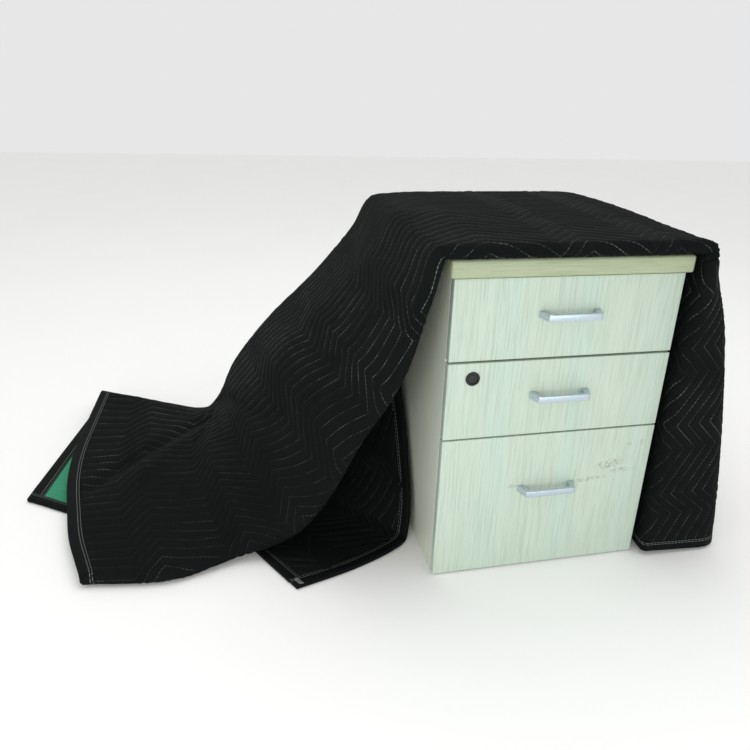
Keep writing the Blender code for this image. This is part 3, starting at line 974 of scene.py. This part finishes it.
def object_place(tree):
    """Each point's place on the whole object."""
    return node(tree, "ShaderNodeTexCoord").outputs["Object"]


def flat_place(tree):
    """The three numbers that a cloth piece keeps at each point, together and one by one."""
    attribute = node(tree, "ShaderNodeAttribute", attribute_name="flat_place")
    parts = node(tree, "ShaderNodeSeparateXYZ", {0: attribute.outputs["Vector"]})
    return attribute.outputs["Vector"], parts.outputs[0], parts.outputs[1], parts.outputs[2]


def dashes(tree, along):
    """One where a stitch lies on top, and zero where its thread goes under."""
    place = maths(tree, "FRACT", maths(tree, "DIVIDE", along, STITCH_LENGTH))
    centre = maths(tree, "ABSOLUTE", maths(tree, "SUBTRACT", place, 0.5))
    return rescaled(tree, centre, STITCH_SHARE / 2 + STITCH_SOFT, STITCH_SHARE / 2 - STITCH_SOFT)


def thread_mask(tree, distance):
    """One on a thread, and zero just past half its width, with a soft edge between."""
    past, within = THREAD_WIDTH * (0.5 + THREAD_SOFT), THREAD_WIDTH * (0.5 - THREAD_SOFT)
    return rescaled(tree, distance, past, within)


def oval_distance(tree, first, second, reach):
    """The square of how far a place is from an oval's middle, with its rim at one."""
    shares = [maths(tree, "DIVIDE", first, reach[0]), maths(tree, "DIVIDE", second, reach[1])]
    squares = [maths(tree, "MULTIPLY", share, share) for share in shares]
    return maths(tree, "ADD", *squares)


def seam_painted_shade(tree, u, v):
    """How much of the seams still shows where painted shade fades them."""
    left = []
    for _, middle, reach, share in SEAM_SHADE_PATCHES:
        along = maths(tree, "SUBTRACT", u, middle[0])
        across = maths(tree, "SUBTRACT", v, middle[1])
        far = oval_distance(tree, along, across, reach)
        left.append(rescaled(tree, far, SEAM_SHADE_EVEN, 1.0, 1 - share, 1.0))
    return combined(tree, "MINIMUM", *left)


def quilted(name, ground, worn, stitch, sheen):
    """Woven cover, quilted: its thread, its weave and the seams drawn into it."""
    made, tree, shader = new_material(name, 0.85)
    shader.inputs["Sheen Weight"].default_value = sheen
    shader.inputs["Sheen Roughness"].default_value = 0.5
    shader.inputs["Specular IOR Level"].default_value = 0.08
    place, across, along, row = flat_place(tree)
    channel = maths(tree, "MULTIPLY", across, CHANNELS / PAD_WIDTH)
    nearest = maths(tree, "ABSOLUTE", maths(tree, "SUBTRACT", maths(tree, "FRACT", channel), 0.5))
    distance = maths(tree, "MULTIPLY", maths(tree, "SUBTRACT", 0.5, nearest), PAD_WIDTH / CHANNELS)
    broken = noise(tree, place, scale=34.0, detail=3.0)
    cloudy = noise(tree, place, scale=7.0, detail=5.0)
    fuzz = noise(tree, place, scale=420.0, detail=2.0)
    worn_short = rescaled(tree, broken, 0.38, 0.62, 0.15, 1.0)
    worn_wide = rescaled(tree, cloudy, 0.42, 0.58, 0.28, 1.0)
    # The seams fade at random as worn thread, and in the shaded patches as painted shade.
    shown = combined(tree, "MULTIPLY", worn_short, worn_wide, seam_painted_shade(tree, row, across))
    seam = maths(tree, "MULTIPLY", thread_mask(tree, distance), dashes(tree, along))
    stitches = maths(tree, "MULTIPLY", seam, shown)
    tone = maths(tree, "MULTIPLY", rescaled(tree, cloudy, 0.35, 0.68), 0.7)
    tone = maths(tree, "ADD", tone, maths(tree, "MULTIPLY", fuzz, 0.3))
    coloured(tree, shader, mixed(tree, stitches, mixed(tree, tone, ground, worn), stitch))
    warp = ribs(tree, place, "X", scale=210.0, distortion=1.2)
    weft = ribs(tree, place, "Y", scale=210.0, distortion=1.2)
    weave = maths(tree, "MULTIPLY", maths(tree, "ADD", warp, weft), 0.35)
    sunk = rescaled(tree, distance, 0.0, SEAM_VALLEY)
    raised = maths(tree, "MULTIPLY", stitches, 0.6)
    rough = maths(tree, "MULTIPLY", fuzz, 0.5)
    bumped(tree, shader, combined(tree, "ADD", weave, sunk, raised, rough), 0.55, 0.0006)
    return made


def taped(name, ground, worn, stitch):
    """Woven tape with two rows of stitching near its inner edge."""
    made, tree, shader = new_material(name, 0.62)
    shader.inputs["Specular IOR Level"].default_value = 0.06
    place, inward, along, _ = flat_place(tree)
    rows = []
    for seam in TAPE_SEAMS:
        distance = maths(tree, "ABSOLUTE", maths(tree, "SUBTRACT", inward, seam))
        rows.append(thread_mask(tree, distance))
    stitches = maths(tree, "MULTIPLY", combined(tree, "MAXIMUM", *rows), dashes(tree, along))
    tone = rescaled(tree, noise(tree, place, scale=18.0, detail=4.0), 0.35, 0.65)
    coloured(tree, shader, mixed(tree, stitches, mixed(tree, tone, ground, worn), stitch))
    weave = ribs(tree, place, "Y", scale=190.0, distortion=0.4)
    height = maths(tree, "ADD", weave, maths(tree, "MULTIPLY", stitches, 1.2))
    bumped(tree, shader, height, 0.5, 0.0005)
    return made


def laminate(name, grain, cream, mint, streak):
    """Printed wood-grain laminate, between two colours and with darker streaks."""
    made, tree, shader = new_material(name, LAMINATE_ROUGHNESS)
    shader.inputs["Specular IOR Level"].default_value = 0.45
    shader.inputs["Coat Weight"].default_value = 0.08
    shader.inputs["Coat Roughness"].default_value = 0.35
    sockets = {"Vector": object_place(tree), "Scale": grain}
    stretched = node(tree, "ShaderNodeMapping", sockets).outputs[0]
    wide = noise(tree, stretched, scale=0.5, detail=2.0)
    band = noise(tree, stretched, scale=5.0, detail=3.0, distortion=0.3)
    fine = noise(tree, stretched, scale=10.5, detail=5.0, roughness=0.65)
    wide_share = maths(tree, "MULTIPLY", rescaled(tree, wide, 0.35, 0.65), 0.65)
    band_share = maths(tree, "MULTIPLY", rescaled(tree, band, 0.36, 0.64), 0.30)
    lines = maths(tree, "MULTIPLY", rescaled(tree, fine, 0.47, 0.66), 0.75)
    ground = mixed(tree, maths(tree, "ADD", wide_share, band_share), cream, mint)
    coloured(tree, shader, mixed(tree, lines, ground, streak))
    bumped(tree, shader, maths(tree, "MULTIPLY", lines, -1.0), 0.3, 0.0002)
    smooth, dull = LAMINATE_ROUGHNESS - 0.05, LAMINATE_ROUGHNESS + 0.10
    tree.links.new(rescaled(tree, fine, 0.3, 0.7, smooth, dull), shader.inputs["Roughness"])
    return made


def scuffed(made, marks, colour):
    """Gives a material rub marks, broken up by a fine noise."""
    tree = made.node_tree
    shader = tree.nodes["Principled BSDF"]
    place = object_place(tree)
    parts = node(tree, "ShaderNodeSeparateXYZ", {0: place})
    masks = []
    for x, z, length, height, slope in marks:
        over = maths(tree, "SUBTRACT", parts.outputs[0], x)
        up = maths(tree, "SUBTRACT", parts.outputs[2], z)
        up = maths(tree, "SUBTRACT", up, maths(tree, "MULTIPLY", over, slope))
        masks.append(rescaled(tree, oval_distance(tree, over, up, (length, height)), 1.0, 0.2))
    broken = rescaled(tree, noise(tree, place, scale=160.0, detail=4.0), 0.44, 0.60)
    rubbed = maths(tree, "MULTIPLY", combined(tree, "MAXIMUM", *masks), broken)
    before = shader.inputs["Base Color"].links[0].from_socket
    coloured(tree, shader, mixed(tree, maths(tree, "MULTIPLY", rubbed, 0.55), before, colour))


def coated_metal(name, colour):
    """A satin metal, faintly mottled."""
    made, tree, shader = new_material(name, 0.32, 0.75)
    cloudy = noise(tree, object_place(tree), scale=240.0, detail=3.0)
    coloured(tree, shader, mixed(tree, cloudy, darkened(colour, 0.82), colour))
    tree.links.new(rescaled(tree, cloudy, 0.3, 0.7, 0.26, 0.40), shader.inputs["Roughness"])
    return made


def plain(name, colour, roughness, grain=300.0, shade=0.8):
    """A smooth material with a faint grain in its colour and its relief."""
    made, tree, shader = new_material(name, roughness)
    speck = noise(tree, object_place(tree), scale=grain, detail=2.0)
    coloured(tree, shader, mixed(tree, speck, darkened(colour, shade), colour))
    bumped(tree, shader, speck, 0.08, 0.0002)
    return made


def dress(obj, material, band=None):
    """Gives a piece its materials, and makes it ride with the body."""
    obj.data.materials.clear()
    obj.data.materials.append(material)
    if band:
        obj.data.materials.append(band)
    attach(obj, "root")


# Building


def build_pad():
    """The pad's two plies, its four tapes and the bars of stitching at its corners."""
    pad = Pad()
    half = (FACE_THICK + BACK_THICK) / 2
    face = cloth_layer("quilted_face", pad, half, CHANNEL_CREST, True)
    lining = cloth_layer("quilted_backing", pad, -half, -BACK_CREST, False)
    tapes = (
        (long_tape("tape_front", pad, True), "binding_front"),
        (long_tape("tape_rear", pad, False), "binding_rear"),
        (end_tape("tape_right", True), "binding_right"),
        (end_tape("tape_left", False), "binding_left"),
    )
    grey_thread = linear(106, 114, 108)
    black = quilted("black_cover", linear(10, 13, 14), linear(16, 19, 19), grey_thread, 0.0)
    green = quilted("green_cover", linear(44, 128, 92), linear(66, 152, 116), linear(30, 90, 66), 0.05)
    edge = taped("black_edge_tape", linear(9, 11, 12), linear(14, 16, 17), grey_thread)
    dress(face, black)
    dress(lining, green)
    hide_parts("pad_face")
    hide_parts("pad_backing")
    for obj, cad_node in tapes:
        dress(obj, edge)
        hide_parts(cad_node)
    pale_thread = plain("pale_thread", linear(168, 172, 168), 0.8)
    for name, u, front in (
        ("bartack_left_front", PAD_LENGTH, True),
        ("bartack_left_rear", PAD_LENGTH, False),
        ("bartack_right_front", 0.0, True),
        ("bartack_right_rear", 0.0, False),
    ):
        bar = bartack(name, u, front)
        dress(bar, pale_thread)


def build_cabinet():
    """The boards, the drawer fronts, the handles and the lock."""
    # The boards' laminate is its own colour made paler than the fronts', as painted light on the
    # shaded left side.
    pale = (linear(214, 216, 200), linear(206, 214, 200), linear(188, 194, 178))
    olive = (linear(172, 180, 150), linear(162, 174, 142), linear(138, 149, 118))
    mint = (linear(188, 200, 185), linear(183, 202, 190), linear(161, 174, 158))
    side_wood_painted_light = laminate("side_laminate", GRAIN_UPRIGHT, *pale)
    top_wood = laminate("top_laminate", GRAIN_LEVEL, *olive)
    front_wood = laminate("front_laminate", GRAIN_UPRIGHT, *mint)
    worn_wood = laminate("front_laminate_worn", GRAIN_UPRIGHT, *mint)
    scuffed(worn_wood, SCUFFS, linear(120, 124, 116))
    tan_band = plain("tan_edge_band", linear(160, 154, 128), 0.5)
    # The top slab's rounded front edge: the edge band's own colour made paler, as a painted highlight.
    band_painted_highlight = plain("pale_edge_band_painted_highlight", linear(226, 230, 212), 0.4)
    boards = (
        ("cabinet_side_left", "side_left", BOARD_EDGE, side_wood_painted_light, tan_band, "side_laminate"),
        ("cabinet_side_right", "side_right", BOARD_EDGE, side_wood_painted_light, tan_band, "side_laminate"),
        ("cabinet_base", "base_board", BOARD_EDGE, side_wood_painted_light, tan_band, "side_laminate"),
        ("cabinet_back", "back_board", BOARD_EDGE, side_wood_painted_light, tan_band, "side_laminate"),
        ("cabinet_top", "top_slab", TOP_EDGE, top_wood, band_painted_highlight, "top_laminate"),
        ("drawer_bottom", "drawer_front_bottom", FRONT_EDGE, worn_wood, tan_band, "front_laminate"),
        ("drawer_middle", "drawer_front_middle", FRONT_EDGE, front_wood, tan_band, "front_laminate"),
        ("drawer_top", "drawer_front_top", FRONT_EDGE, front_wood, tan_band, "front_laminate"),
    )
    for name, cad_node, edge, wood, band, slot in boards:
        dress(board(name, cad_node, edge), wood, band)
    metal = coated_metal("pale_coated_metal", linear(198, 210, 220))
    for place in ("bottom", "middle", "top"):
        dress(handle("bow_" + place, "handle_" + place), metal)
    collar, core, keyway = lock()
    dress(collar, plain("black_lock_ring", linear(14, 17, 16), 0.45))
    dress(core, plain("dark_lock_core", linear(18, 22, 20), 0.5))
    # The keyway is a black block on the core: painted shade where the key slot would be.
    dress(keyway, plain("lock_keyway_painted_shade", linear(10, 11, 11), 0.6))


def area_light(name, place, target, size, power, colour):
    """A soft light aimed at a target."""
    light = bpy.data.lights.new(name, "AREA")
    light.shape = "RECTANGLE"
    light.size, light.size_y = size
    light.energy = power
    light.color = colour
    obj = bpy.data.objects.new(name, light)
    obj.location = place
    aim = Vector(target) - Vector(place)
    obj.rotation_euler = aim.to_track_quat("-Z", "Y").to_euler()
    bpy.context.scene.collection.objects.link(obj)


def build_stage():
    """A pale floor, soft light from all sides, and the camera."""
    mesh = bpy.data.meshes.new("floor")
    half = FLOOR_SIZE / 2
    corners = [(-half, -half, 0), (half, -half, 0), (half, half, 0), (-half, half, 0)]
    mesh.from_pydata(corners, [], [(0, 1, 2, 3)])
    floor = bpy.data.objects.new("floor", mesh)
    bpy.context.scene.collection.objects.link(floor)
    mesh.materials.append(plain("pale_floor", linear(250, 250, 249), 0.9, grain=3.0, shade=0.97))
    world = bpy.data.worlds.new("studio")
    bpy.context.scene.world = world
    world.use_nodes = True
    background = world.node_tree.nodes["Background"]
    background.inputs["Color"].default_value = (1.0, 1.0, 1.0, 1.0)
    background.inputs["Strength"].default_value = WORLD_STRENGTH
    for light in LIGHTS:
        area_light(*light)
    bpy.context.scene.view_settings.view_transform = "Standard"
    bpy.context.scene.view_settings.look = "None"
    camera = bpy.data.cameras.new("camera")
    camera.sensor_width = CAMERA_SENSOR
    camera.lens = CAMERA_LENS
    camera.shift_x, camera.shift_y = CAMERA_SHIFT
    eye = bpy.data.objects.new("camera", camera)
    back = -Vector(CAMERA_AHEAD)
    turn = Matrix((CAMERA_RIGHT, CAMERA_UP, back)).transposed()
    eye.matrix_world = Matrix.Translation(CAMERA_PLACE) @ turn.to_4x4()
    bpy.context.scene.collection.objects.link(eye)
    bpy.context.scene.camera = eye


def main():
    """Builds the scene."""
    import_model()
    build_stage()
    build_pad()
    build_cabinet()
    bpy.context.view_layer.update()


main()
